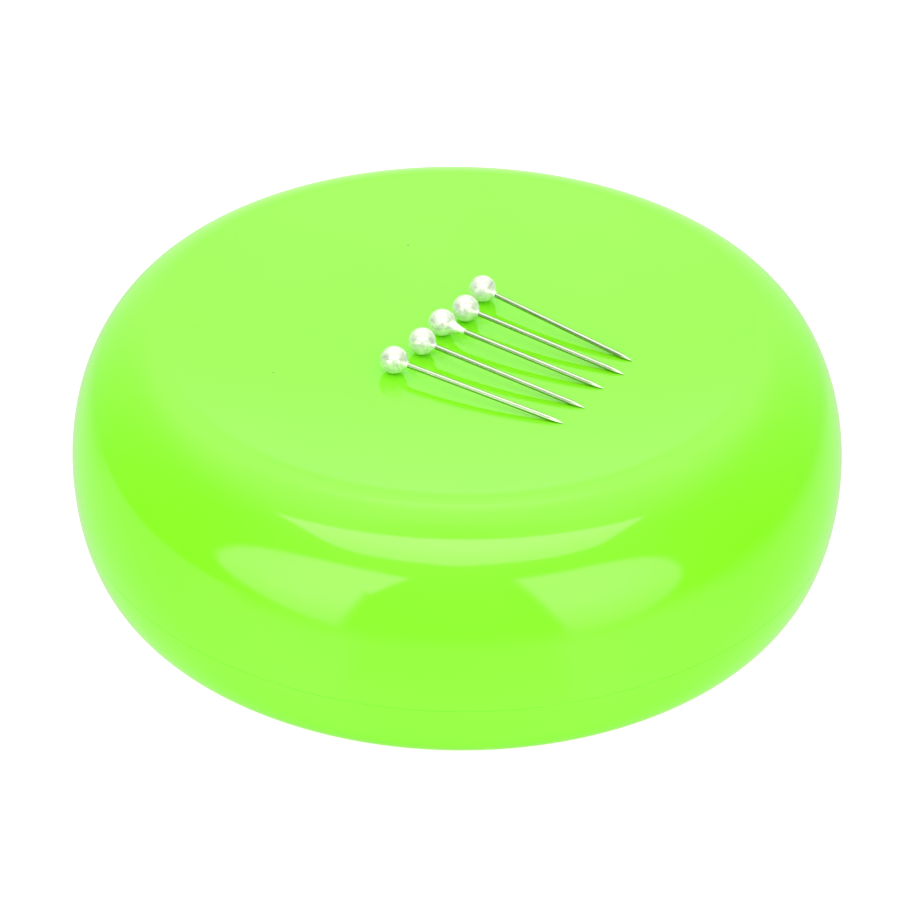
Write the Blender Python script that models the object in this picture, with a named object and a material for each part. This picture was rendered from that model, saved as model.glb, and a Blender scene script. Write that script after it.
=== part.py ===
"""A magnetic pin dish with five pearl-head pins lying in it.

The body is a round plastic pebble with a shallow dish in its top: a top shell over a base cover,
closed by four screws from below. A ring magnet sits under the dish on a foam ring and holds the
pins. Four rubber feet carry the body. Heights are measured from the surface it stands on, the
origin is on that surface at the middle, and +Z is up. Outlines are in millimetres.
"""

import math

import bmesh
import bpy
from mathutils import Matrix, Vector

MM = 0.001

# Body
OUTER_RADIUS = 55.0
WIDEST_HEIGHT = 14.7
CREST_RADIUS = 42.5
CREST_HEIGHT = 36.0
UNDERSIDE_RADIUS = 50.3
FOOT_STANDOFF = 1.0
WALL = 2.2
PARTING_HEIGHT = 10.8
GAP = 0.3
BODY_SEGMENTS = 60

# How far a cutter runs out of the piece that it cuts
CUT_OVERRUN = 1.0

# Dish in the top of the shell
DISH_HEIGHT = 31.8
DISH_CURVE_RADIUS = 214.0
DISH_BEND_RADIUS = 30.0
CREST_FOOT_RADIUS = 41.4

# Lap joint between the two halves
TONGUE_THICKNESS = 1.5
TONGUE_HEIGHT = 2.95
TONGUE_ROOT_DEPTH = 1.6
TONGUE_FLARE = 1.3

# Ring magnet, foam ring and what holds them
MAGNET_OUTER_RADIUS = 36.0
MAGNET_INNER_RADIUS = 16.0
MAGNET_THICKNESS = 10.0
MAGNET_TOP = 29.9
MAGNET_CHAMFER = 0.6
MAGNET_CLEARANCE = 0.5
RIB_THICKNESS = 1.5
RIB_BOTTOM = 22.0
FOAM_OUTER_RADIUS = 34.0
FOAM_INNER_RADIUS = 20.0
FOAM_THICKNESS = 3.0
PEDESTAL_OUTER_RADIUS = 28.0
PEDESTAL_INNER_RADIUS = 26.0
RING_SEGMENTS = 48

# Screws and their bosses
SCREW_CIRCLE_RADIUS = 43.5
SCREW_ANGLES = (0.0, 90.0, 180.0, 270.0)
SHELL_BOSS_RADIUS = 3.5
SHELL_BOSS_TOP = 34.1
PILOT_RADIUS = 1.4
PILOT_TOP = 18.0
BASE_BOSS_RADIUS = 5.0
BASE_BOSS_TOP = 6.0
BASE_BOSS_ROOT = 0.8
COUNTERBORE_RADIUS = 3.2
COUNTERBORE_TOP = 4.0
CLEARANCE_HOLE_RADIUS = 1.6
SCREW_HEAD_RADIUS = 2.6
SCREW_HEAD_THICKNESS = 2.0
SCREW_HEAD_ROUND_WIDTH = 0.9
SCREW_HEAD_ROUND_HEIGHT = 1.1
SCREW_SHANK_RADIUS = 1.1
SCREW_LENGTH = 11.5
SCREW_POINT_LENGTH = 1.6
SCREW_POINT_RADIUS = 0.35
SCREW_TURN = 20.0
CROSS_WIDTH = 0.7
CROSS_SPAN = 2.8
CROSS_DEPTH = 1.0
SMALL_SEGMENTS = 16

# Rubber feet
FOOT_CIRCLE_RADIUS = 40.0
FOOT_ANGLES = (45.0, 135.0, 225.0, 315.0)
FOOT_RADIUS = 5.0
FOOT_THICKNESS = 1.5
FOOT_CHAMFER = 0.3
FOOT_RECESS_DEPTH = 0.8

# Pins: the bead's place on the dish, the direction that the point lies in, in degrees, and how far
# from the bead's middle its neck ends
PIN_PLACES = (
    (-8.9, -7.4, -31.4, 2.4),
    (-5.1, -2.1, -34.6, 2.4),
    (-2.4, 3.0, -34.7, 4.1),
    (0.9, 6.8, -35.7, 2.4),
    (3.3, 11.8, -39.8, 2.5),
)
PIN_HEAD_RADIUS = 1.95
PIN_SHAFT_RADIUS = 0.34
PIN_REACH = 27.2
PIN_TAPER = 2.2
PIN_TAPER_MIDDLE = 0.35
PIN_TAPER_MIDDLE_WIDTH = 0.62
PIN_POINT_RADIUS = 0.04
PIN_SHAFT_START = -0.9
PIN_BORE_END = -1.0
PIN_BORE_CLEARANCE = 0.08
PIN_NECK_WALL = 0.16
PIN_NECK_ANGLE = 52.0
PIN_REST_GAP = 0.15
PIN_POINT_REST_GAP = 0.2
PIN_HEAD_SEGMENTS = 16
PIN_SHAFT_SEGMENTS = 10

# Colours are linear
LIME = (0.270, 0.940, 0.035, 1.0)
FERRITE = (0.045, 0.046, 0.050, 1.0)
FOAM = (0.020, 0.020, 0.022, 1.0)
ZINC = (0.620, 0.640, 0.660, 1.0)
RUBBER = (0.028, 0.028, 0.030, 1.0)
STEEL = (0.560, 0.560, 0.540, 1.0)
PEARL = (0.860, 0.850, 0.820, 1.0)


def clear_scene():
    """Removes what the scene holds before modelling."""
    for obj in list(bpy.data.objects):
        bpy.data.objects.remove(obj)


def plain_material(name, colour, roughness, metallic=0.0):
    material = bpy.data.materials.new(name)
    material.use_nodes = True
    shader = material.node_tree.nodes["Principled BSDF"]
    shader.inputs["Base Color"].default_value = colour
    shader.inputs["Roughness"].default_value = roughness
    shader.inputs["Metallic"].default_value = metallic
    return material


def arc(centre, half_width, half_height, start, end, steps):
    """Points along an ellipse about centre, from one angle to another, both ends included."""
    points = []
    for i in range(steps + 1):
        angle = math.radians(start + (end - start) * i / steps)
        r = centre[0] + half_width * math.cos(angle)
        z = centre[1] + half_height * math.sin(angle)
        points.append((r, z))
    return points


def dish_height(r):
    """Height of the dish at radius r: a shallow bowl, steeper by the rim, then over on to the crest."""
    bowl = DISH_HEIGHT + r * r / (2 * DISH_CURVE_RADIUS)
    if r <= DISH_BEND_RADIUS:
        return bowl
    rim = CREST_FOOT_RADIUS - DISH_BEND_RADIUS
    run = CREST_RADIUS - CREST_FOOT_RADIUS
    bowl_at_foot = DISH_HEIGHT + CREST_FOOT_RADIUS**2 / (2 * DISH_CURVE_RADIUS)
    bowl_slope = CREST_FOOT_RADIUS / DISH_CURVE_RADIUS
    left_to_rise = CREST_HEIGHT - bowl_at_foot - bowl_slope * run / 2
    bend = left_to_rise / (rim**2 + run * rim)
    if r <= CREST_FOOT_RADIUS:
        return bowl + bend * (r - DISH_BEND_RADIUS) ** 2
    slope = bowl_slope + 2 * bend * rim
    past = r - CREST_FOOT_RADIUS
    return dish_height(CREST_FOOT_RADIUS) + slope * past * (1 - past / (2 * run))


def ellipse_angle(height, centre_height, half_height):
    """Angle on an ellipse, in degrees, at which it reaches a height."""
    return math.degrees(math.asin((height - centre_height) / half_height))


def add_turned(bm, outline, segments, place=(0.0, 0.0)):
    """Adds the solid that a closed (radius, height) outline sweeps about a vertical axis."""
    verts = [bm.verts.new((r * MM, 0.0, z * MM)) for r, z in outline]
    edges = []
    for a, b in zip(verts, verts[1:] + verts[:1]):
        if a.co.x > 0 or b.co.x > 0:
            edges.append(bm.edges.new((a, b)))
    before = set(bm.faces)
    bmesh.ops.spin(
        bm,
        geom=verts + edges,
        cent=(0.0, 0.0, 0.0),
        axis=(0.0, 0.0, 1.0),
        angle=math.tau,
        steps=segments,
        use_merge=True,
    )
    new_verts = {v for f in bm.faces if f not in before for v in f.verts}
    bmesh.ops.remove_doubles(bm, verts=list(new_verts), dist=1e-7)
    new_verts = {v for f in bm.faces if f not in before for v in f.verts}
    shift = Vector((place[0] * MM, place[1] * MM, 0.0))
    bmesh.ops.translate(bm, vec=shift, verts=list(new_verts))


def finished_object(name, bm, material, sharp_angle=35.0):
    """Makes an object of a closed bmesh, with its faces pointing out and its round sides smooth."""
    bmesh.ops.recalc_face_normals(bm, faces=bm.faces)
    if bm.calc_volume(signed=True) < 0:
        bmesh.ops.reverse_faces(bm, faces=bm.faces)
    mesh = bpy.data.meshes.new(name)
    bm.to_mesh(mesh)
    bm.free()
    mesh.shade_smooth()
    mesh.set_sharp_from_angle(angle=math.radians(sharp_angle))
    if material is not None:
        mesh.materials.append(material)
    obj = bpy.data.objects.new(name, mesh)
    bpy.context.scene.collection.objects.link(obj)
    return obj


def turned(name, outline, segments, material):
    bm = bmesh.new()
    add_turned(bm, outline, segments)
    return finished_object(name, bm, material)


def circle_places(radius, angles):
    return [
        (radius * math.cos(math.radians(a)), radius * math.sin(math.radians(a)))
        for a in angles
    ]


def tool(name, outlines_and_places, segments):
    """A hidden object of several separate turned solids, for a Boolean to add or cut."""
    bm = bmesh.new()
    for outline, places in outlines_and_places:
        for place in places:
            add_turned(bm, outline, segments, place)
    obj = finished_object(name, bm, None)
    obj.hide_render = True
    obj.display_type = "WIRE"
    return obj


def boolean(target, operand, operation):
    modifier = target.modifiers.new(operation.lower(), "BOOLEAN")
    modifier.operation = operation
    modifier.object = operand
    modifier.solver = "EXACT"


def cylinder_outline(radius, bottom, top):
    return [(0.0, bottom), (radius, bottom), (radius, top), (0.0, top)]


def shell_outline():
    """Outer side from the lower edge over the crest to the middle of the dish, then the inner side back."""
    edge_height = PARTING_HEIGHT + GAP / 2
    low_half = WIDEST_HEIGHT - FOOT_STANDOFF
    low_angle = ellipse_angle(edge_height, WIDEST_HEIGHT, low_half)
    low_centre = (UNDERSIDE_RADIUS, WIDEST_HEIGHT)
    flank = arc(low_centre, OUTER_RADIUS - UNDERSIDE_RADIUS, low_half, low_angle, 0.0, 2)
    shoulder_width = OUTER_RADIUS - CREST_RADIUS
    shoulder_rise = CREST_HEIGHT - WIDEST_HEIGHT
    high_centre = (CREST_RADIUS, WIDEST_HEIGHT)
    shoulder = arc(high_centre, shoulder_width, shoulder_rise, 0.0, 90.0, 11)[1:]
    crest_radii = [42.1, 41.75, CREST_FOOT_RADIUS]
    dish_radii = crest_radii + [37.4, 33.0, 28.0, 21.0, 14.0, 7.0]
    dish = [(r, dish_height(r)) for r in dish_radii] + [(0.0, DISH_HEIGHT)]

    rib_inner = MAGNET_OUTER_RADIUS + MAGNET_CLEARANCE
    rib_outer = rib_inner + RIB_THICKNESS
    under_dish = [(r, dish_height(r) - WALL) for r in (0.0, 7.0, 14.0, 22.0, 30.0, rib_inner)]
    rib = [
        (rib_inner, RIB_BOTTOM),
        (rib_outer, RIB_BOTTOM),
        (rib_outer, dish_height(rib_outer) - WALL),
    ]
    inner_wall = arc(high_centre, shoulder_width - WALL, shoulder_rise - WALL, 90.0, 0.0, 7)
    lower_edge = [(OUTER_RADIUS - WALL, edge_height)]
    return flank + shoulder + dish + under_dish + rib + inner_wall + lower_edge


def base_outline():
    """Underside and flank up to the parting line, the tongue, then the inner side back to the middle."""
    edge_height = PARTING_HEIGHT - GAP / 2
    low_centre = (UNDERSIDE_RADIUS, WIDEST_HEIGHT)
    low_half = WIDEST_HEIGHT - FOOT_STANDOFF
    flank_width = OUTER_RADIUS - UNDERSIDE_RADIUS
    top_angle = ellipse_angle(edge_height, WIDEST_HEIGHT, low_half)
    flank = arc(low_centre, flank_width, low_half, -90.0, top_angle, 6)

    tongue_outer = OUTER_RADIUS - WALL - GAP
    tongue_inner = tongue_outer - TONGUE_THICKNESS
    tongue_top = edge_height + TONGUE_HEIGHT
    tongue_root = edge_height - TONGUE_ROOT_DEPTH
    tongue = [
        (tongue_outer, edge_height),
        (tongue_outer, tongue_top),
        (tongue_inner, tongue_top),
        (tongue_inner, tongue_root),
    ]
    inner_half = low_half - WALL
    inner_start = ellipse_angle(tongue_root - TONGUE_FLARE, WIDEST_HEIGHT, inner_half)
    inner_wall = arc(low_centre, flank_width - WALL, inner_half, inner_start, -90.0, 4)

    floor = FOOT_STANDOFF + WALL
    pedestal_top = MAGNET_TOP - MAGNET_THICKNESS - FOAM_THICKNESS - 2 * GAP
    pedestal = [
        (PEDESTAL_OUTER_RADIUS, floor),
        (PEDESTAL_OUTER_RADIUS, pedestal_top),
        (PEDESTAL_INNER_RADIUS, pedestal_top),
        (PEDESTAL_INNER_RADIUS, floor),
    ]
    middle = [(0.0, floor), (0.0, FOOT_STANDOFF)]
    return flank + tongue + inner_wall + pedestal + middle


def make_top_shell(material):
    shell = turned("top_shell", shell_outline(), BODY_SEGMENTS, material)
    places = circle_places(SCREW_CIRCLE_RADIUS, SCREW_ANGLES)
    boss_bottom = BASE_BOSS_TOP + GAP
    boss = cylinder_outline(SHELL_BOSS_RADIUS, boss_bottom, SHELL_BOSS_TOP)
    pilot = cylinder_outline(PILOT_RADIUS, boss_bottom - CUT_OVERRUN, PILOT_TOP)
    boolean(shell, tool("shell_boss_tool", [(boss, places)], SMALL_SEGMENTS), "UNION")
    boolean(shell, tool("shell_pilot_tool", [(pilot, places)], SMALL_SEGMENTS), "DIFFERENCE")
    return shell


def make_base_cover(material):
    base = turned("base_cover", base_outline(), BODY_SEGMENTS, material)
    screw_places = circle_places(SCREW_CIRCLE_RADIUS, SCREW_ANGLES)
    foot_places = circle_places(FOOT_CIRCLE_RADIUS, FOOT_ANGLES)
    boss = cylinder_outline(BASE_BOSS_RADIUS, FOOT_STANDOFF + BASE_BOSS_ROOT, BASE_BOSS_TOP)
    below = FOOT_STANDOFF - CUT_OVERRUN
    screw_hole = [
        (0.0, below),
        (COUNTERBORE_RADIUS, below),
        (COUNTERBORE_RADIUS, COUNTERBORE_TOP),
        (CLEARANCE_HOLE_RADIUS, COUNTERBORE_TOP),
        (CLEARANCE_HOLE_RADIUS, BASE_BOSS_TOP + CUT_OVERRUN),
        (0.0, BASE_BOSS_TOP + CUT_OVERRUN),
    ]
    recess_top = FOOT_STANDOFF + FOOT_RECESS_DEPTH
    recess = cylinder_outline(FOOT_RADIUS + GAP, below, recess_top)
    boolean(base, tool("base_boss_tool", [(boss, screw_places)], SMALL_SEGMENTS), "UNION")
    cuts = [(screw_hole, screw_places), (recess, foot_places)]
    boolean(base, tool("base_cut_tool", cuts, SMALL_SEGMENTS), "DIFFERENCE")
    return base


def make_ring_magnet(material):
    bottom = MAGNET_TOP - MAGNET_THICKNESS
    c = MAGNET_CHAMFER
    outline = [
        (MAGNET_INNER_RADIUS + c, bottom),
        (MAGNET_OUTER_RADIUS - c, bottom),
        (MAGNET_OUTER_RADIUS, bottom + c),
        (MAGNET_OUTER_RADIUS, MAGNET_TOP - c),
        (MAGNET_OUTER_RADIUS - c, MAGNET_TOP),
        (MAGNET_INNER_RADIUS + c, MAGNET_TOP),
        (MAGNET_INNER_RADIUS, MAGNET_TOP - c),
        (MAGNET_INNER_RADIUS, bottom + c),
    ]
    return turned("ring_magnet", outline, RING_SEGMENTS, material)


def make_foam_ring(material):
    top = MAGNET_TOP - MAGNET_THICKNESS - GAP
    bottom = top - FOAM_THICKNESS
    outline = [
        (FOAM_INNER_RADIUS, bottom),
        (FOAM_OUTER_RADIUS, bottom),
        (FOAM_OUTER_RADIUS, top),
        (FOAM_INNER_RADIUS, top),
    ]
    return turned("foam_ring", outline, RING_SEGMENTS, material)


def cross_tool():
    """The crossed slots of a screw head: two bars that share the head's middle, as one solid."""
    half_width = CROSS_WIDTH / 2
    half_span = CROSS_SPAN / 2
    corners = []
    for turn in range(4):
        angle = math.radians(90.0 * turn)
        for x, y in ((half_span, -half_width), (half_span, half_width), (half_width, half_width)):
            corner = Vector((x, y, 0.0)) * MM
            corner.rotate(Matrix.Rotation(angle, 3, "Z"))
            corners.append(corner)
    bm = bmesh.new()
    face = bm.faces.new([bm.verts.new(c) for c in corners])
    extruded = bmesh.ops.extrude_face_region(bm, geom=[face])["geom"]
    raised = [v for v in extruded if isinstance(v, bmesh.types.BMVert)]
    bmesh.ops.translate(bm, vec=(0.0, 0.0, (CROSS_DEPTH + CUT_OVERRUN) * MM), verts=raised)
    obj = finished_object("screw_cross_tool", bm, None)
    obj.location = (0.0, 0.0, -CUT_OVERRUN * MM)
    obj.hide_render = True
    obj.display_type = "WIRE"
    return obj


def screw_outline():
    """A pan-head screw standing on its head, its lower face at height 0."""
    head_top = SCREW_HEAD_THICKNESS
    tip = head_top + SCREW_LENGTH
    round_centre = (SCREW_HEAD_RADIUS - SCREW_HEAD_ROUND_WIDTH, SCREW_HEAD_ROUND_HEIGHT)
    head = arc(round_centre, SCREW_HEAD_ROUND_WIDTH, SCREW_HEAD_ROUND_HEIGHT, -90.0, 0.0, 2)
    shank = [
        (SCREW_HEAD_RADIUS, head_top),
        (SCREW_SHANK_RADIUS, head_top),
        (SCREW_SHANK_RADIUS, tip - SCREW_POINT_LENGTH),
        (SCREW_POINT_RADIUS, tip),
        (0.0, tip),
    ]
    return [(0.0, 0.0)] + head + shank


def make_screws(material):
    """Four screws that share one mesh shape, each with its own cross recess in the head."""
    head_bottom = COUNTERBORE_TOP - GAP - SCREW_HEAD_THICKNESS
    pattern = turned("screw_pattern", screw_outline(), SMALL_SEGMENTS, material)
    recess = cross_tool()
    boolean(pattern, recess, "DIFFERENCE")
    depsgraph = bpy.context.evaluated_depsgraph_get()
    mesh = bpy.data.meshes.new_from_object(pattern.evaluated_get(depsgraph))
    mesh.name = "base_screw"
    bpy.data.objects.remove(pattern)
    bpy.data.objects.remove(recess)
    places = circle_places(SCREW_CIRCLE_RADIUS, SCREW_ANGLES)
    for number, (place, angle) in enumerate(zip(places, SCREW_ANGLES), 1):
        screw = bpy.data.objects.new(f"base_screw_{number}", mesh)
        screw.location = (place[0] * MM, place[1] * MM, head_bottom * MM)
        screw.rotation_euler = (0.0, 0.0, math.radians(angle + SCREW_TURN * number))
        bpy.context.scene.collection.objects.link(screw)


def make_feet(material):
    outline = [
        (0.0, 0.0),
        (FOOT_RADIUS - FOOT_CHAMFER, 0.0),
        (FOOT_RADIUS, FOOT_CHAMFER),
        (FOOT_RADIUS, FOOT_THICKNESS),
        (0.0, FOOT_THICKNESS),
    ]
    for number, place in enumerate(circle_places(FOOT_CIRCLE_RADIUS, FOOT_ANGLES), 1):
        foot = turned(f"foot_{number}", outline, SMALL_SEGMENTS, material)
        foot.location = (place[0] * MM, place[1] * MM, 0.0)


def pin_head_outline(neck_end):
    """A bead with a conical neck, bored from the neck's end. The bead's middle is at height 0."""
    bore = PIN_SHAFT_RADIUS + PIN_BORE_CLEARANCE
    bead = arc((0.0, 0.0), PIN_HEAD_RADIUS, PIN_HEAD_RADIUS, -90.0, PIN_NECK_ANGLE, 8)
    bead[0] = (0.0, -PIN_HEAD_RADIUS)
    neck = [(bore + PIN_NECK_WALL, neck_end), (bore, neck_end)]
    return bead + neck + [(bore, PIN_BORE_END), (0.0, PIN_BORE_END)]


def pin_shaft_outline():
    taper_start = PIN_REACH - PIN_TAPER
    return [
        (0.0, PIN_SHAFT_START),
        (PIN_SHAFT_RADIUS, PIN_SHAFT_START),
        (PIN_SHAFT_RADIUS, taper_start),
        (PIN_SHAFT_RADIUS * PIN_TAPER_MIDDLE_WIDTH, PIN_REACH - PIN_TAPER * PIN_TAPER_MIDDLE),
        (PIN_POINT_RADIUS, PIN_REACH),
        (0.0, PIN_REACH),
    ]


def pin_placement(x, y, heading):
    """Where a pin lies: its bead and its point both rest on the dish. Returns bead middle and direction."""
    slope = math.hypot(x, y) / DISH_CURVE_RADIUS
    bead_lift = PIN_HEAD_RADIUS * math.hypot(1.0, slope) + PIN_REST_GAP
    bead = Vector((x, y, dish_height(math.hypot(x, y)) + bead_lift))
    toward = Vector((math.cos(math.radians(heading)), math.sin(math.radians(heading)), 0.0))
    point = bead + toward * PIN_REACH
    for _ in range(6):
        point.z = dish_height(math.hypot(point.x, point.y)) + PIN_POINT_REST_GAP
        direction = (point - bead).normalized()
        point = bead + direction * PIN_REACH
    return bead, direction


def make_pins(steel, pearl):
    for number, (x, y, heading, neck_end) in enumerate(PIN_PLACES, 1):
        bead, direction = pin_placement(x, y, heading)
        origin = bpy.data.objects.new(f"pin_{number}_origin", None)
        origin.location = bead * MM
        origin.rotation_mode = "QUATERNION"
        origin.rotation_quaternion = direction.to_track_quat("Z", "Y")
        bpy.context.scene.collection.objects.link(origin)
        shaft = turned(f"pin_shaft_{number}", pin_shaft_outline(), PIN_SHAFT_SEGMENTS, steel)
        head = turned(f"pin_head_{number}", pin_head_outline(neck_end), PIN_HEAD_SEGMENTS, pearl)
        shaft.parent = origin
        head.parent = origin


def main():
    clear_scene()
    lime = plain_material("lime_plastic", LIME, 0.12)
    make_top_shell(lime)
    make_base_cover(lime)
    make_ring_magnet(plain_material("ferrite", FERRITE, 0.65))
    make_foam_ring(plain_material("foam", FOAM, 0.95))
    make_screws(plain_material("zinc_steel", ZINC, 0.3, 1.0))
    make_feet(plain_material("rubber", RUBBER, 0.8))
    steel = plain_material("pin_steel", STEEL, 0.18, 1.0)
    pearl = plain_material("pearl", PEARL, 0.22)
    make_pins(steel, pearl)


main()
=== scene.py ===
"""Looks of the magnetic pin dish: its fine surfaces, materials, studio and camera.

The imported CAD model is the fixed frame. The two body halves, the pins and the feet are each stood
for by a finer piece of the same outline in the same place. The magnet, the foam and the screws
keep their CAD meshes and get their materials. Outlines are in millimetres and are turned into
metres when a mesh is made.
"""

import math

import bmesh
import bpy
from mathutils import Matrix, Vector


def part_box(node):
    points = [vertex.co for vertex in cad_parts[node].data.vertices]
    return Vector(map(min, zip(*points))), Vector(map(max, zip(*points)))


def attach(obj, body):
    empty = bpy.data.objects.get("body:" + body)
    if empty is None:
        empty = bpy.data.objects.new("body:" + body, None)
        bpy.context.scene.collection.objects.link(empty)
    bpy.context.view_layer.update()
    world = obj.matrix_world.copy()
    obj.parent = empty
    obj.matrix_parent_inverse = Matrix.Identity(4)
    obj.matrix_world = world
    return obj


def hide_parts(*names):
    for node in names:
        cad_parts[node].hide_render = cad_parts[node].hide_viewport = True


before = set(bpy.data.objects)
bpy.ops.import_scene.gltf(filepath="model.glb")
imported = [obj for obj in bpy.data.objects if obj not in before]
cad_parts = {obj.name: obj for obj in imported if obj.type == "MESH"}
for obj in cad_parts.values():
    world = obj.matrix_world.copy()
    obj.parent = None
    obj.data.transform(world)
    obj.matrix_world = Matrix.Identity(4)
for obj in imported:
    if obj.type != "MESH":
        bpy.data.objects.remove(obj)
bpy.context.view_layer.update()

MM = 0.001

# ---------------------------------------------------------------- sizes


def box_mm(node):
    """A node's lowest and highest corners, in millimetres."""
    low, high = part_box(node)
    return low / MM, high / MM


SHELL_LOW, SHELL_HIGH = box_mm("top_shell")
BASE_LOW, BASE_HIGH = box_mm("base_cover")
FOAM_LOW, FOAM_HIGH = box_mm("foam_ring")
FOOT_LOW, FOOT_HIGH = box_mm("foot_1")

OUTER_RADIUS = SHELL_HIGH.x
CREST_HEIGHT = SHELL_HIGH.z
SHELL_BOSS_BOTTOM = SHELL_LOW.z
UNDERSIDE_HEIGHT = BASE_LOW.z
TONGUE_TOP = BASE_HIGH.z
FOOT_RADIUS = (FOOT_HIGH.x - FOOT_LOW.x) / 2
FOOT_HEIGHT = FOOT_HIGH.z

# Body sizes that a box doesn't give: the same as the CAD's
WIDEST_HEIGHT = 14.7
CREST_RADIUS = 42.5
UNDERSIDE_RADIUS = 50.3
WALL = 2.2
PARTING_HEIGHT = 10.8
PARTING_GAP = 0.03
LIP_ROUND = 0.06
DISH_HEIGHT = 31.8
DISH_CURVE_RADIUS = 214.0
DISH_BEND_RADIUS = 30.0
CREST_FOOT_RADIUS = 41.4
LAP_GAP = 0.3
TONGUE_THICKNESS = 1.5
TONGUE_ROOT_DEPTH = 1.6
TONGUE_ROOT_FLARE = 1.3
RIB_INNER_RADIUS = 36.5
RIB_THICKNESS = 1.5
RIB_BOTTOM = 22.0
PEDESTAL_OUTER_RADIUS = 28.0
PEDESTAL_INNER_RADIUS = 26.0
PEDESTAL_TOP = FOAM_LOW.z - LAP_GAP
SHELL_BOSS_RADIUS = 3.5
SHELL_BOSS_TOP = 34.1
PILOT_RADIUS = 1.4
PILOT_TOP = 18.0
BASE_BOSS_RADIUS = 5.0
BASE_BOSS_ROOT = 0.8
BASE_BOSS_TOP = 6.0
COUNTERBORE_RADIUS = 3.2
COUNTERBORE_TOP = 4.0
CLEARANCE_HOLE_RADIUS = 1.6
FOOT_RECESS_DEPTH = 0.8
FOOT_RECESS_GAP = 0.3
FOOT_ROUND = 0.45

# Pin sizes: along a pin, zero is the middle of its bead and the point is on the positive side
PIN_SHAFT_RADIUS = 0.35
PIN_SHAFT_START = -0.9
PIN_POINT_LENGTH = 2.3
PIN_POINT_ROUND = 0.02
PIN_POINT_FULLNESS = 1.7
PIN_HEAD_RADIUS = 1.95
PIN_HOLE_BOTTOM = -0.6
NECK_START_ANGLE = 58.0
NECK_RIM = 0.05
NECK_HOLLOWNESS = 1.9
NECK_OVERLAP = 0.04
NECK_LIP = 0.02
# How far each pin's neck runs out along its shaft
NECK_ENDS = {1: 2.35, 2: 2.35, 3: 4.0, 4: 2.35, 5: 2.5}
# How far each bead is turned on its shaft from the one before, in degrees
BEAD_TURN = 67.0
# The CAD holds the pins clear of the dish, and this lowers them on to it
PIN_REST_DROP = 0.13

# How far a cutting shape runs on past the face that it cuts through
OVERCUT = 1.0

BODY_SEGMENTS = 240
SMALL_SEGMENTS = 48
SHAFT_SEGMENTS = 24
BEAD_SEGMENTS = 56
SHARP_ANGLE = 40.0
BEAD_SHARP_ANGLE = 60.0

SCREW_NODES = [f"base_screw_{n}" for n in (1, 2, 3, 4)]
FOOT_NODES = [f"foot_{n}" for n in (1, 2, 3, 4)]
PIN_NUMBERS = (1, 2, 3, 4, 5)

# ---------------------------------------------------------------- turned meshes


def arc(centre, half_width, half_height, start, end, steps):
    """Points along an ellipse about centre, from one angle to another, both ends included."""
    points = []
    for i in range(steps + 1):
        angle = math.radians(start + (end - start) * i / steps)
        r = centre[0] + half_width * math.cos(angle)
        z = centre[1] + half_height * math.sin(angle)
        points.append((r, z))
    return points


def dish_height(r):
    """Height of the dish at radius r: a shallow bowl, steeper by the rim, then over on to the crest."""
    bowl = DISH_HEIGHT + r * r / (2 * DISH_CURVE_RADIUS)
    if r <= DISH_BEND_RADIUS:
        return bowl
    rim = CREST_FOOT_RADIUS - DISH_BEND_RADIUS
    run = CREST_RADIUS - CREST_FOOT_RADIUS
    bowl_at_foot = DISH_HEIGHT + CREST_FOOT_RADIUS**2 / (2 * DISH_CURVE_RADIUS)
    bowl_slope = CREST_FOOT_RADIUS / DISH_CURVE_RADIUS
    left_to_rise = CREST_HEIGHT - bowl_at_foot - bowl_slope * run / 2
    bend = left_to_rise / (rim**2 + run * rim)
    if r <= CREST_FOOT_RADIUS:
        return bowl + bend * (r - DISH_BEND_RADIUS) ** 2
    slope = bowl_slope + 2 * bend * rim
    past = r - CREST_FOOT_RADIUS
    return dish_height(CREST_FOOT_RADIUS) + slope * past * (1 - past / (2 * run))


def ellipse_angle(height, centre_height, half_height):
    """Angle on an ellipse, in degrees, at which it reaches a height."""
    return math.degrees(math.asin((height - centre_height) / half_height))


def rounded(outline, corners, radius, steps=4):
    """The outline with each corner whose index is in corners replaced by a small arc."""
    points = []
    count = len(outline)
    for i, here in enumerate(outline):
        if i not in corners:
            points.append(here)
            continue
        corner = Vector(here)
        to_last = (Vector(outline[i - 1]) - corner).normalized()
        to_next = (Vector(outline[(i + 1) % count]) - corner).normalized()
        start = corner + to_last * radius
        end = corner + to_next * radius
        for k in range(steps + 1):
            t = k / steps
            bend = start * (1 - t) ** 2 + corner * 2 * t * (1 - t) + end * t**2
            points.append((bend.x, bend.y))
    return points


def add_turned(bm, outline, segments, place=(0.0, 0.0)):
    """Adds the solid that a closed (radius, height) outline sweeps about a vertical axis.

    A point on the axis gives a single vertex, and any other point gives a ring of them.
    """
    rings = []
    for r, z in outline:
        ring = []
        for i in range(segments if r > 0 else 1):
            angle = math.tau * i / segments
            x = place[0] + r * math.cos(angle)
            y = place[1] + r * math.sin(angle)
            ring.append(bm.verts.new((x * MM, y * MM, z * MM)))
        rings.append(ring)
    for ring, next_ring in zip(rings, rings[1:] + rings[:1]):
        for i in range(segments):
            k = (i + 1) % segments
            corners = [ring[i % len(ring)], ring[k % len(ring)]]
            corners += [next_ring[k % len(next_ring)], next_ring[i % len(next_ring)]]
            face = list(dict.fromkeys(corners))
            if len(face) > 2:
                bm.faces.new(face)


def smooth(mesh, sharp_angle):
    """Shades a mesh smooth, but for edges that turn by more than an angle in degrees."""
    mesh.shade_smooth()
    mesh.set_sharp_from_angle(angle=math.radians(sharp_angle))


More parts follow.
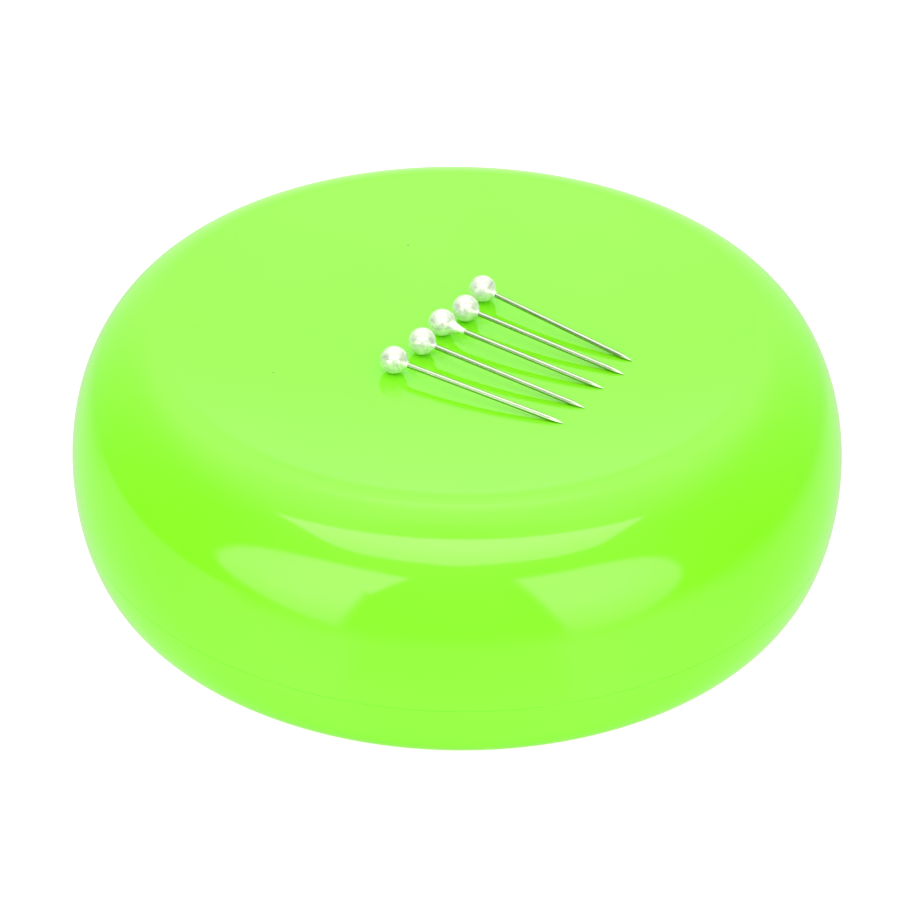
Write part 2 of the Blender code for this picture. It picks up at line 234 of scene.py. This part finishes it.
def finished_object(name, bm, sharp_angle=SHARP_ANGLE):
    """Turns a bmesh into an object in the scene, with its faces outwards."""
    bmesh.ops.recalc_face_normals(bm, faces=bm.faces)
    if bm.calc_volume(signed=True) < 0:
        bmesh.ops.reverse_faces(bm, faces=bm.faces)
    mesh = bpy.data.meshes.new(name)
    bm.to_mesh(mesh)
    bm.free()
    smooth(mesh, sharp_angle)
    obj = bpy.data.objects.new(name, mesh)
    bpy.context.scene.collection.objects.link(obj)
    return obj


def turned(name, outline, segments, sharp_angle=SHARP_ANGLE):
    """An object in the shape of one closed outline turned about its own vertical axis."""
    bm = bmesh.new()
    add_turned(bm, outline, segments)
    return finished_object(name, bm, sharp_angle)


def cylinder_outline(radius, bottom, top):
    """The closed outline of a plain cylinder."""
    return [(0.0, bottom), (radius, bottom), (radius, top), (0.0, top)]


def combine(target, outlines_and_places, operation):
    """Joins or cuts several turned solids in one Boolean, and keeps the result as plain mesh."""
    bm = bmesh.new()
    for outline, places in outlines_and_places:
        for place in places:
            add_turned(bm, outline, SMALL_SEGMENTS, place)
    operand = finished_object("operand", bm)
    modifier = target.modifiers.new("combine", "BOOLEAN")
    modifier.operation = operation
    modifier.object = operand
    modifier.solver = "EXACT"
    depsgraph = bpy.context.evaluated_depsgraph_get()
    mesh = bpy.data.meshes.new_from_object(target.evaluated_get(depsgraph))
    target.modifiers.clear()
    target.data = mesh
    smooth(mesh, SHARP_ANGLE)
    bpy.data.objects.remove(operand)


def centre_of(node):
    """The middle of a CAD node in the horizontal plane, in millimetres."""
    low, high = box_mm(node)
    return ((low.x + high.x) / 2, (low.y + high.y) / 2)


# ---------------------------------------------------------------- node materials


class Shading:
    """A small helper that adds nodes to one material and links them by name."""

    def __init__(self, name):
        self.material = bpy.data.materials.new(name)
        self.material.use_nodes = True
        self.tree = self.material.node_tree
        self.shader = self.tree.nodes["Principled BSDF"]

    def node(self, kind, **settings):
        made = self.tree.nodes.new(kind)
        for key, value in settings.items():
            setattr(made, key, value)
        return made

    def link(self, output, node, socket):
        self.tree.links.new(output, node.inputs[socket])

    def set(self, **values):
        """Plain values on the shader's own sockets, with _ for a space in the name."""
        for key, value in values.items():
            self.shader.inputs[key.replace("_", " ")].default_value = value

    def position(self, scale=(1.0, 1.0, 1.0)):
        """Object coordinates in millimetres, stretched by scale."""
        coords = self.node("ShaderNodeTexCoord")
        mapping = self.node("ShaderNodeMapping")
        mapping.inputs["Scale"].default_value = [s / MM for s in scale]
        self.link(coords.outputs["Object"], mapping, "Vector")
        return mapping.outputs["Vector"]

    def noise(self, vector, scale, detail=2.0, roughness=0.5, distortion=0.0):
        """Cloudy values about 0.5; scale is in cloud cells per stretched millimetre."""
        made = self.node("ShaderNodeTexNoise")
        made.inputs["Scale"].default_value = scale
        made.inputs["Detail"].default_value = detail
        made.inputs["Roughness"].default_value = roughness
        made.inputs["Distortion"].default_value = distortion
        self.link(vector, made, "Vector")
        return made.outputs["Fac"]

    def ramp(self, value, *stops):
        """A colour ramp of (position, colour) stops; a plain number is a grey."""
        made = self.node("ShaderNodeValToRGB")
        made.color_ramp.interpolation = "EASE"
        elements = made.color_ramp.elements
        while len(elements) < len(stops):
            elements.new(0.5)
        for element, (place, colour) in zip(elements, stops):
            element.position = place
            if isinstance(colour, (int, float)):
                colour = (colour, colour, colour)
            element.color = (*colour, 1.0)
        self.link(value, made, "Fac")
        return made.outputs["Color"]

    def mix(self, factor, a, b):
        """Goes from colour a to colour b as the factor goes from 0 to 1."""
        made = self.node("ShaderNodeMix", data_type="RGBA")
        self.link(factor, made, "Factor")
        for socket, value in (("A", a), ("B", b)):
            target = [s for s in made.inputs if s.name == socket and s.type == "RGBA"][0]
            if isinstance(value, tuple):
                target.default_value = (*value, 1.0)
            else:
                self.tree.links.new(value, target)
        return [s for s in made.outputs if s.type == "RGBA"][0]

    def bump(self, height, distance_mm, strength, normal=None):
        """A surface normal that a height tilts, on top of another normal where one is given."""
        made = self.node("ShaderNodeBump")
        made.inputs["Distance"].default_value = distance_mm * MM
        made.inputs["Strength"].default_value = strength
        self.link(height, made, "Height")
        if normal is not None:
            self.link(normal, made, "Normal")
        return made.outputs["Normal"]


# Two dark flecks moulded into the dish, as place and radius, and their colour
FLECKS = (((-7.7, 25.0, 33.4), 0.16), ((-25.4, -10.3, 33.5), 0.17))
FLECK_COLOUR = (0.04, 0.10, 0.01)


def lime_plastic():
    """Glossy moulded plastic: even lime colour with the faintest flow marks, and a polished skin."""
    s = Shading("lime_plastic")
    where = s.position()
    flow = s.noise(s.position((0.35, 0.35, 1.0)), 0.11, 3.0, 0.55, 0.6)
    colour = s.ramp(flow, (0.25, (0.271, 0.970, 0.0185)), (0.75, (0.283, 0.990, 0.0215)))
    for place, radius in FLECKS:
        away = s.node("ShaderNodeVectorMath", operation="DISTANCE")
        s.link(where, away, 0)
        away.inputs[1].default_value = place
        inside = s.ramp(away.outputs["Value"], (radius * 0.4, 0.75), (radius * 1.4, 0.0))
        colour = s.mix(inside, colour, FLECK_COLOUR)
    s.link(colour, s.shader, "Base Color")
    wear = s.noise(where, 0.22, 4.0, 0.6)
    s.link(s.ramp(wear, (0.3, 0.05), (0.7, 0.085)), s.shader, "Roughness")
    waves = s.noise(where, 0.09, 1.0)
    grain = s.noise(where, 3.2, 2.0)
    normal = s.bump(waves, 0.02, 0.3)
    s.link(s.bump(grain, 0.0012, 0.3, normal), s.shader, "Normal")
    s.set(IOR=1.5)
    return s.material


def pearl():
    """Pearl lacquer over a white bead: a half-metallic lustre with cloudy swirls of lilac and grey."""
    s = Shading("pearl")
    swirl = s.noise(s.position((1.0, 1.0, 0.55)), 0.62, 3.0, 0.55, 2.6)
    colour = s.ramp(
        swirl,
        (0.34, (0.67, 0.65, 0.70)),
        (0.45, (0.82, 0.85, 0.82)),
        (0.58, (0.90, 0.94, 0.88)),
        (0.72, (0.80, 0.84, 0.81)),
    )
    fine = s.noise(s.position(), 3.0, 3.0, 0.6, 1.0)
    colour = s.mix(s.ramp(fine, (0.45, 0.0), (0.75, 0.3)), colour, (0.66, 0.60, 0.70))
    s.link(colour, s.shader, "Base Color")
    s.link(s.ramp(swirl, (0.3, 0.26), (0.7, 0.15)), s.shader, "Roughness")
    normal = s.bump(swirl, 0.12, 0.5)
    s.link(s.bump(fine, 0.02, 0.3, normal), s.shader, "Normal")
    s.set(Metallic=0.2, IOR=1.5, Coat_Weight=0.5, Coat_Roughness=0.02, Coat_IOR=1.5)
    return s.material


def pin_steel():
    """Nickel-plated wire, drawn lengthwise, so its finest scratches run along it; the green cast in its
    colour is a painted reflection of the lime dish.
    """
    s = Shading("pin_steel")
    along = s.position((9.0, 9.0, 0.35))
    drawn = s.noise(along, 1.6, 4.0, 0.6)
    # painted reflection: the green cast in the wire's colour stands in for the lime dish mirrored in it;
    # the lighter and darker streaks are its drawn scratches
    colour = s.ramp(drawn, (0.3, (0.36, 0.43, 0.32)), (0.7, (0.46, 0.54, 0.41)))
    s.link(colour, s.shader, "Base Color")
    s.link(s.ramp(drawn, (0.3, 0.12), (0.7, 0.20)), s.shader, "Roughness")
    s.set(Metallic=1.0, Specular_Tint=(0.0, 0.0, 0.0, 1.0))
    return s.material


def zinc_steel():
    """Zinc plating: pale metal with a faint blue and straw cast."""
    s = Shading("zinc_steel")
    cloud = s.noise(s.position(), 0.8, 3.0)
    colour = s.ramp(cloud, (0.3, (0.60, 0.63, 0.68)), (0.7, (0.72, 0.70, 0.62)))
    s.link(colour, s.shader, "Base Color")
    s.link(s.ramp(cloud, (0.3, 0.24), (0.7, 0.38)), s.shader, "Roughness")
    s.link(s.bump(s.noise(s.position(), 7.0, 2.0), 0.006, 0.4), s.shader, "Normal")
    s.set(Metallic=1.0)
    return s.material


def rubber():
    """Matt black rubber with a fine moulded grain and a little dust in it."""
    s = Shading("rubber")
    grain = s.noise(s.position(), 5.0, 3.0, 0.6)
    cloud = s.noise(s.position(), 0.5, 3.0)
    colour = s.ramp(cloud, (0.35, (0.020, 0.020, 0.021)), (0.75, (0.042, 0.041, 0.040)))
    s.link(colour, s.shader, "Base Color")
    s.link(s.ramp(cloud, (0.3, 0.62), (0.7, 0.78)), s.shader, "Roughness")
    s.link(s.bump(grain, 0.03, 0.5), s.shader, "Normal")
    s.set(IOR=1.52)
    return s.material


def ferrite():
    """Sintered ferrite: dark grey, slightly metallic, with pits and grinding marks."""
    s = Shading("ferrite")
    grain = s.noise(s.position(), 1.6, 5.0, 0.65)
    ground = s.noise(s.position((6.0, 0.25, 1.0)), 0.9, 3.0)
    worn = s.ramp(ground, (0.3, 0.2), (0.7, 0.8))
    colour = s.mix(worn, (0.030, 0.031, 0.034), (0.075, 0.076, 0.082))
    s.link(colour, s.shader, "Base Color")
    s.link(s.ramp(grain, (0.3, 0.45), (0.7, 0.70)), s.shader, "Roughness")
    s.link(s.bump(grain, 0.05, 0.5), s.shader, "Normal")
    s.set(Metallic=0.35)
    return s.material


def foam():
    """Closed-cell foam: black, with small round cells."""
    s = Shading("foam")
    cells = s.node("ShaderNodeTexVoronoi")
    cells.inputs["Scale"].default_value = 1.9
    s.link(s.position(), cells, "Vector")
    distance = cells.outputs["Distance"]
    colour = s.ramp(distance, (0.1, (0.009, 0.009, 0.010)), (0.7, (0.040, 0.040, 0.043)))
    s.link(colour, s.shader, "Base Color")
    s.link(s.bump(distance, 0.25, 0.7), s.shader, "Normal")
    s.set(Roughness=0.95)
    return s.material


# ---------------------------------------------------------------- body


# The body's side is two quarter ellipses that meet at its widest height
LOW_CENTRE = (UNDERSIDE_RADIUS, WIDEST_HEIGHT)
LOW_WIDTH = OUTER_RADIUS - UNDERSIDE_RADIUS
LOW_DROP = WIDEST_HEIGHT - UNDERSIDE_HEIGHT
HIGH_CENTRE = (CREST_RADIUS, WIDEST_HEIGHT)
HIGH_WIDTH = OUTER_RADIUS - CREST_RADIUS
HIGH_RISE = CREST_HEIGHT - WIDEST_HEIGHT


def shell_outline():
    """Lower lip, outer side, crest and dish, then the inner side with the rib, and back to the lip."""
    edge_height = PARTING_HEIGHT + PARTING_GAP / 2
    low_angle = ellipse_angle(edge_height, WIDEST_HEIGHT, LOW_DROP)
    flank = arc(LOW_CENTRE, LOW_WIDTH, LOW_DROP, low_angle, 0.0, steps=8)
    shoulder = arc(HIGH_CENTRE, HIGH_WIDTH, HIGH_RISE, 0.0, 90.0, steps=56)[1:]
    dish_steps = 64
    dish = []
    for i in range(1, dish_steps + 1):
        r = CREST_RADIUS * (1 - i / dish_steps)
        dish.append((r, dish_height(r)))

    rib_outer = RIB_INNER_RADIUS + RIB_THICKNESS
    under_steps = 24
    under_dish = []
    for i in range(under_steps + 1):
        r = RIB_INNER_RADIUS * i / under_steps
        under_dish.append((r, dish_height(r) - WALL))
    rib = [
        (RIB_INNER_RADIUS, RIB_BOTTOM),
        (rib_outer, RIB_BOTTOM),
        (rib_outer, dish_height(rib_outer) - WALL),
    ]
    inner_wall = arc(HIGH_CENTRE, HIGH_WIDTH - WALL, HIGH_RISE - WALL, 90.0, 0.0, steps=24)
    lower_edge = [(OUTER_RADIUS - WALL, edge_height)]
    outline = flank + shoulder + dish + under_dish + rib + inner_wall + lower_edge
    return rounded(outline, (0, len(outline) - 1), LIP_ROUND)


def base_outline():
    """Underside and flank up to the parting line, the tongue, then the inner side back to the middle."""
    edge_height = PARTING_HEIGHT - PARTING_GAP / 2
    top_angle = ellipse_angle(edge_height, WIDEST_HEIGHT, LOW_DROP)
    flank = arc(LOW_CENTRE, LOW_WIDTH, LOW_DROP, -90.0, top_angle, steps=36)
    lip = len(flank) - 1

    tongue_outer = OUTER_RADIUS - WALL - LAP_GAP
    tongue_inner = tongue_outer - TONGUE_THICKNESS
    tongue_root = edge_height - TONGUE_ROOT_DEPTH
    tongue = [
        (tongue_outer, edge_height),
        (tongue_outer, TONGUE_TOP),
        (tongue_inner, TONGUE_TOP),
        (tongue_inner, tongue_root),
    ]
    inner_drop = LOW_DROP - WALL
    inner_start = ellipse_angle(tongue_root - TONGUE_ROOT_FLARE, WIDEST_HEIGHT, inner_drop)
    inner_wall = arc(LOW_CENTRE, LOW_WIDTH - WALL, inner_drop, inner_start, -90.0, steps=12)

    floor = UNDERSIDE_HEIGHT + WALL
    pedestal = [
        (PEDESTAL_OUTER_RADIUS, floor),
        (PEDESTAL_OUTER_RADIUS, PEDESTAL_TOP),
        (PEDESTAL_INNER_RADIUS, PEDESTAL_TOP),
        (PEDESTAL_INNER_RADIUS, floor),
    ]
    middle = [(0.0, floor), (0.0, UNDERSIDE_HEIGHT)]
    outline = flank + tongue + inner_wall + pedestal + middle
    return rounded(outline, (lip, lip + 2, lip + 3), LIP_ROUND)


def screw_hole_outline(bottom):
    """A counterbore for the screw's head and a clearance hole on up through the boss."""
    top = BASE_BOSS_TOP + OVERCUT
    return [
        (0.0, bottom),
        (COUNTERBORE_RADIUS, bottom),
        (COUNTERBORE_RADIUS, COUNTERBORE_TOP),
        (CLEARANCE_HOLE_RADIUS, COUNTERBORE_TOP),
        (CLEARANCE_HOLE_RADIUS, top),
        (0.0, top),
    ]


def make_body(material):
    """The shell with its four bosses, and the cover with its bosses, holes and foot recesses."""
    screw_places = [centre_of(n) for n in SCREW_NODES]
    foot_places = [centre_of(n) for n in FOOT_NODES]

    shell = turned("shell_skin", shell_outline(), BODY_SEGMENTS)
    boss = cylinder_outline(SHELL_BOSS_RADIUS, SHELL_BOSS_BOTTOM, SHELL_BOSS_TOP)
    pilot = cylinder_outline(PILOT_RADIUS, SHELL_BOSS_BOTTOM - 2 * OVERCUT, PILOT_TOP)
    combine(shell, [(boss, screw_places)], "UNION")
    combine(shell, [(pilot, screw_places)], "DIFFERENCE")

    base = turned("base_skin", base_outline(), BODY_SEGMENTS)
    below = UNDERSIDE_HEIGHT - OVERCUT
    boss = cylinder_outline(BASE_BOSS_RADIUS, UNDERSIDE_HEIGHT + BASE_BOSS_ROOT, BASE_BOSS_TOP)
    screw_hole = screw_hole_outline(below)
    recess_top = UNDERSIDE_HEIGHT + FOOT_RECESS_DEPTH
    recess = cylinder_outline(FOOT_RADIUS + FOOT_RECESS_GAP, below, recess_top)
    combine(base, [(boss, screw_places)], "UNION")
    combine(base, [(screw_hole, screw_places), (recess, foot_places)], "DIFFERENCE")
    for piece, node in ((shell, "top_shell"), (base, "base_cover")):
        dress(piece, material, "dish_body", node)


def dress(piece, material, body, node):
    """Gives a piece its material and slot, and sets it on its body in its CAD node's place."""
    piece.data.materials.clear()
    piece.data.materials.append(material)
    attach(piece, body)
    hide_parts(node)


# ---------------------------------------------------------------- pins


def pin_axis(number):
    """The CAD shaft's blunt end, the direction from there to its point, and its length."""
    shaft = [v.co.copy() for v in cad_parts[f"pin_shaft_{number}"].data.vertices]
    low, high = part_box(f"pin_head_{number}")
    near_bead = (low + high) / 2
    point = max(shaft, key=lambda p: (p - near_bead).length)
    reach = max((p - point).length for p in shaft)
    blunt_end = [p for p in shaft if (p - point).length > reach - 0.1 * MM]
    start = sum(blunt_end, Vector()) / len(blunt_end)
    return start, (point - start).normalized(), (point - start).length


def bead_outline(neck_end):
    """A bead with a neck that flows out on to the shaft, closed around it."""
    middle = (0.0, 0.0)
    bead = arc(middle, PIN_HEAD_RADIUS, PIN_HEAD_RADIUS, -90.0, NECK_START_ANGLE, steps=30)
    bead[0] = (0.0, -PIN_HEAD_RADIUS)
    root_radius, root_height = bead[-1]
    rim = PIN_SHAFT_RADIUS + NECK_RIM
    neck = []
    steps = 8
    for i in range(1, steps + 1):
        t = i / steps
        r = rim + (root_radius - rim) * (1 - t) ** NECK_HOLLOWNESS
        neck.append((r, root_height + (neck_end - root_height) * t))
    inside = PIN_SHAFT_RADIUS - NECK_OVERLAP
    hole = [(inside, neck_end + NECK_LIP), (inside, PIN_HOLE_BOTTOM), (0.0, PIN_HOLE_BOTTOM)]
    return bead + neck + hole


def shaft_outline(reach):
    """A straight wire that ends in a ground, slightly rounded point."""
    point_start = reach - PIN_POINT_LENGTH
    side = [
        (0.0, PIN_SHAFT_START),
        (PIN_SHAFT_RADIUS, PIN_SHAFT_START),
        (PIN_SHAFT_RADIUS, point_start),
    ]
    steps = 10
    for i in range(1, steps + 1):
        t = i / steps
        radius = PIN_SHAFT_RADIUS * (1 - t**PIN_POINT_FULLNESS) + PIN_POINT_ROUND * t
        side.append((radius, point_start + (PIN_POINT_LENGTH - PIN_POINT_ROUND) * t))
    return side + [(0.0, reach)]


def make_pins(steel, white):
    """Five pins on the axes of the CAD's, each bead turned so that its swirls are its own."""
    for number in PIN_NUMBERS:
        start, direction, length = pin_axis(number)
        bead_middle = start - direction * (PIN_SHAFT_START * MM)
        reach = length / MM + PIN_SHAFT_START
        place = Matrix.Translation(bead_middle - Vector((0.0, 0.0, PIN_REST_DROP * MM)))
        place = place @ direction.to_track_quat("Z", "Y").to_matrix().to_4x4()
        spin = Matrix.Rotation(math.radians(BEAD_TURN * number), 4, "Z")
        wire = shaft_outline(reach)
        shaft = turned(f"pin_wire_{number}", wire, SHAFT_SEGMENTS)
        ball = bead_outline(NECK_ENDS[number])
        bead = turned(f"pin_bead_{number}", ball, BEAD_SEGMENTS, BEAD_SHARP_ANGLE)
        shaft.matrix_world = place
        bead.matrix_world = place @ spin
        dress(shaft, steel, f"pin_{number}", f"pin_shaft_{number}")
        dress(bead, white, f"pin_{number}", f"pin_head_{number}")


# ---------------------------------------------------------------- small parts of the body


def make_feet(material):
    """Four round rubber pads, rounded where they stand on the table."""
    pad = cylinder_outline(FOOT_RADIUS, 0.0, FOOT_HEIGHT)
    outline = rounded(pad, (1,), FOOT_ROUND, steps=6)
    for node in FOOT_NODES:
        foot = turned(f"{node}_pad", outline, SMALL_SEGMENTS)
        x, y = centre_of(node)
        foot.location = (x * MM, y * MM, 0.0)
        dress(foot, material, "dish_body", node)


def make_hidden_parts():
    """The CAD magnet, foam and screws keep their shapes and get their real materials."""
    materials = {"ring_magnet": ferrite(), "foam_ring": foam()}
    zinc = zinc_steel()
    for node in SCREW_NODES:
        materials[node] = zinc
    for node, material in materials.items():
        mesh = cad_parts[node].data
        mesh.materials.clear()
        mesh.materials.append(material)


# ---------------------------------------------------------------- studio and camera


def direction_at(azimuth, elevation):
    """Unit vector; azimuth is in degrees from +Y towards +X, elevation above the horizon."""
    a, e = math.radians(azimuth), math.radians(elevation)
    return Vector((math.sin(a) * math.cos(e), math.cos(a) * math.cos(e), math.sin(e)))


class Sky:
    """Builds the studio's brightness as a function of direction, out of world shader nodes."""

    def __init__(self):
        self.world = bpy.data.worlds.new("studio")
        bpy.context.scene.world = self.world
        self.world.use_nodes = True
        self.tree = self.world.node_tree
        self.towards = self.tree.nodes.new("ShaderNodeTexCoord").outputs["Generated"]

    def math(self, operation, a, b):
        node = self.tree.nodes.new("ShaderNodeMath")
        node.operation = operation
        for i, value in enumerate((a, b)):
            if isinstance(value, (int, float)):
                node.inputs[i].default_value = value
            else:
                self.tree.links.new(value, node.inputs[i])
        return node.outputs[0]

    def add(self, a, b):
        return self.math("ADD", a, b)

    def times(self, a, b):
        return self.math("MULTIPLY", a, b)

    def over(self, under, mask, value):
        """Where the mask is 1 the value stands in place of what is under it."""
        kept = self.times(under, self.math("SUBTRACT", 1.0, mask))
        return self.add(kept, self.times(mask, value))

    def facing(self, axis, low, high, out_low=0.0, out_high=1.0):
        """Goes smoothly from out_low to out_high as the direction's share of axis goes low to high."""
        dot = self.tree.nodes.new("ShaderNodeVectorMath")
        dot.operation = "DOT_PRODUCT"
        self.tree.links.new(self.towards, dot.inputs[0])
        dot.inputs[1].default_value = axis
        spread = self.tree.nodes.new("ShaderNodeMapRange")
        spread.interpolation_type = "SMOOTHSTEP"
        self.tree.links.new(dot.outputs["Value"], spread.inputs["Value"])
        spread.inputs["From Min"].default_value = low
        spread.inputs["From Max"].default_value = high
        spread.inputs["To Min"].default_value = out_low
        spread.inputs["To Max"].default_value = out_high
        return spread.outputs["Result"]

    def patch(self, corners, soft, closed=True):
        """A mask, 1 inside the patch of sky that the (azimuth, elevation) corners bound, 0 outside."""
        rays = [direction_at(*corner) for corner in corners]
        middle = sum(rays, Vector()).normalized()
        ends = rays[1:] + rays[:1] if closed else rays[1:]
        mask = None
        for a, b in zip(rays, ends):
            side = a.cross(b).normalized()
            if side.dot(middle) < 0:
                side.negate()
            edge = self.facing(side, -soft, soft)
            mask = edge if mask is None else self.times(mask, edge)
        return mask


# Corners of the soft boxes as (azimuth, elevation) in degrees
OVERHEAD_BOX = (
    (-115.8, 44.6), (-128.3, 41.0), (-139.7, 36.3), (-150.3, 34.3),
    (180.0, 33.0), (147.5, 33.4), (134.0, 34.4), (113.3, 43.3),
)
LEFT_BOX = (
    (-111.5, -2.0), (-114.5, 6.5), (-122.2, 15.2), (-137.0, 22.0),
    (-161.0, 22.6), (-156.0, 6.4), (-149.0, -15.5), (-130.0, -11.2), (-115.2, -7.3),
)
LEFT_BOX_TIP = ((-167.0, 21.6), (-157.0, 7.0), (-145.0, 22.6))
RIGHT_BOX = (
    (116.0, -3.0), (118.0, 5.5), (124.0, 14.0), (137.0, 20.4),
    (165.0, 20.6), (156.0, 0.0), (150.0, -17.0), (129.0, -15.5), (118.0, -9.0),
)

UP = (0.0, 0.0, 1.0)
DOWN = (0.0, 0.0, -1.0)
TO_CAMERA_SIDE = (0.0, -1.0, 0.0)
TO_LEFT = (-1.0, 0.0, 0.0)
TO_RIGHT = (1.0, 0.0, 0.0)

# Light levels; a pair is the lowest and the highest
TENT_LIGHT = (1.34, 2.30)
HOT_SPOT_LIGHT = 1.96
ROOM_LIGHT = (0.06, 0.42)
OVERHEAD_BOX_LIGHT = (3.6, 5.1)
LEFT_BOX_LIGHT = 3.85
RIGHT_BOX_LIGHT = 3.6
TABLE_LIGHT = (0.72, 1.45)
TABLE_MIDDLE_LIGHT = 1.05
MATT_SURFACE_LIGHT = 1.0
BACKDROP_LIGHT = 1.1
LIGHT_COLOUR = (1.04, 1.10, 0.93, 1.0)


def tent_and_room(sky):
    """White cloth behind and overhead, brightest high up at the back, and a dim room elsewhere."""
    tent = sky.times(
        sky.facing((0.6, 0.33, 0.51), -0.80, 0.60),
        sky.facing((-0.6, 0.33, 0.51), -0.80, 0.60),
    )
    cloth = sky.facing(UP, 0.46, 0.84, *TENT_LIGHT)
    hot_spot = sky.times(
        sky.facing((0.0, 0.5, 0.86), 0.936, 1.05, 0.0, HOT_SPOT_LIGHT),
        sky.facing(UP, 0.80, 0.87),
    )
    front_shade = sky.facing((0.0, -0.45, 0.89), 0.86, 1.2, 1.0, -0.25)
    light = sky.times(tent, sky.times(sky.add(cloth, hot_spot), front_shade))
    return sky.add(light, sky.facing(TO_CAMERA_SIDE, 0.15, 0.75, *ROOM_LIGHT))


def with_soft_boxes(sky, light):
    """Adds three soft boxes at the camera's side: overhead, and low on the left and the right."""
    # the overhead box's upper side is a curve, so its patch is left open there
    overhead = sky.times(
        sky.patch(OVERHEAD_BOX, 0.02, closed=False),
        sky.facing((0.0, -0.575, -0.818), -0.445, -0.40),
    )
    light = sky.over(light, overhead, sky.facing(UP, 0.54, 0.80, *OVERHEAD_BOX_LIGHT))
    fall_off = sky.times(
        sky.facing(UP, -0.40, 0.10, 0.35, 1.0),
        sky.facing(TO_CAMERA_SIDE, 0.45, 0.78, 0.80, 1.03),
    )
    left = sky.math("MAXIMUM", sky.patch(LEFT_BOX, 0.045), sky.patch(LEFT_BOX_TIP, 0.02))
    light = sky.over(light, left, sky.times(fall_off, LEFT_BOX_LIGHT))
    right = sky.patch(RIGHT_BOX, 0.04)
    return sky.over(light, right, sky.times(fall_off, RIGHT_BOX_LIGHT))


def with_table(sky, light):
    """Adds the white table below, brighter towards the camera but for the stretch in the middle."""
    table = sky.over(
        sky.facing(DOWN, 0.17, 0.38),
        sky.facing(TO_LEFT, 0.80, 0.90),
        sky.facing(DOWN, 0.20, 0.25),
    )
    table_light = sky.facing(TO_CAMERA_SIDE, -0.10, 0.75, *TABLE_LIGHT)
    between = sky.times(
        sky.times(
            sky.facing(TO_RIGHT, -0.48, -0.36),
            sky.facing(TO_LEFT, -0.50, -0.38),
        ),
        sky.facing(TO_CAMERA_SIDE, 0.0, 0.3),
    )
    table_light = sky.over(table_light, between, TABLE_MIDDLE_LIGHT)
    shade_of_the_dish = sky.facing(DOWN, 0.72, 1.3, 1.0, 0.0)
    return sky.over(light, table, sky.times(table_light, shade_of_the_dish))


def make_sky():
    """Plain studio surroundings, as the world's brightness in each direction."""
    sky = Sky()
    light = tent_and_room(sky)
    light = with_soft_boxes(sky, light)
    light = with_table(sky, light)

    # matt surfaces get even light, and the camera sees plain white behind the floor
    path = sky.tree.nodes.new("ShaderNodeLightPath")
    light = sky.over(light, path.outputs["Is Diffuse Ray"], MATT_SURFACE_LIGHT)
    light = sky.over(light, path.outputs["Is Camera Ray"], BACKDROP_LIGHT)
    background = sky.tree.nodes["Background"]
    sky.tree.links.new(light, background.inputs["Strength"])
    background.inputs["Color"].default_value = LIGHT_COLOUR
    sky.world.cycles.sampling_method = "NONE"


FLOOR_RADIUS = 1500.0
FLOOR_GLOW = 0.85


def make_floor():
    """A plain white floor that glows a little, and that the glossy plastic doesn't mirror."""
    bm = bmesh.new()
    bmesh.ops.create_circle(bm, cap_ends=True, segments=96, radius=FLOOR_RADIUS * MM)
    floor = finished_object("floor", bm)
    s = Shading("floor_white")
    s.set(Base_Color=(0.8, 0.8, 0.8, 1.0), Roughness=1.0, Specular_IOR_Level=0.0)
    s.set(Emission_Color=(1.0, 1.0, 1.0, 1.0), Emission_Strength=FLOOR_GLOW)
    floor.data.materials.append(s.material)
    floor.visible_glossy = False
    floor.visible_diffuse = False


# Angles in degrees, lengths in millimetres, and the shift in picture widths
CAMERA_ELEVATION = 34.27
CAMERA_DISTANCE = 407.4
CAMERA_ROLL = 0.86
CAMERA_TARGET = (0.0, 0.0, 16.3)
CAMERA_SENSOR = 36.0
CAMERA_LENS = 113.4
CAMERA_SHIFT = (-0.00822, -0.01444)
CAMERA_CLIP = (10.0, 10000.0)


def make_camera():
    """Looks from the front and above, turned a little about its own axis."""
    data = bpy.data.cameras.new("camera")
    camera = bpy.data.objects.new("camera", data)
    bpy.context.scene.collection.objects.link(camera)
    data.sensor_width = CAMERA_SENSOR
    data.lens = CAMERA_LENS
    elevation = math.radians(CAMERA_ELEVATION)
    back = Vector((0.0, -math.cos(elevation), math.sin(elevation)))
    target = Vector(CAMERA_TARGET) * MM
    camera.location = target + back * CAMERA_DISTANCE * MM
    turn = (-back).to_track_quat("-Z", "Y").to_matrix().to_4x4()
    roll = Matrix.Rotation(math.radians(CAMERA_ROLL), 4, "Z")
    camera.matrix_world = Matrix.Translation(camera.location) @ turn @ roll
    data.shift_x, data.shift_y = CAMERA_SHIFT
    data.clip_start = CAMERA_CLIP[0] * MM
    data.clip_end = CAMERA_CLIP[1] * MM
    bpy.context.scene.camera = camera


def main():
    """Builds everything around the frame."""
    make_body(lime_plastic())
    make_pins(pin_steel(), pearl())
    make_feet(rubber())
    make_hidden_parts()
    make_sky()
    make_floor()
    make_camera()
    bpy.context.scene.view_settings.view_transform = "Standard"


main()
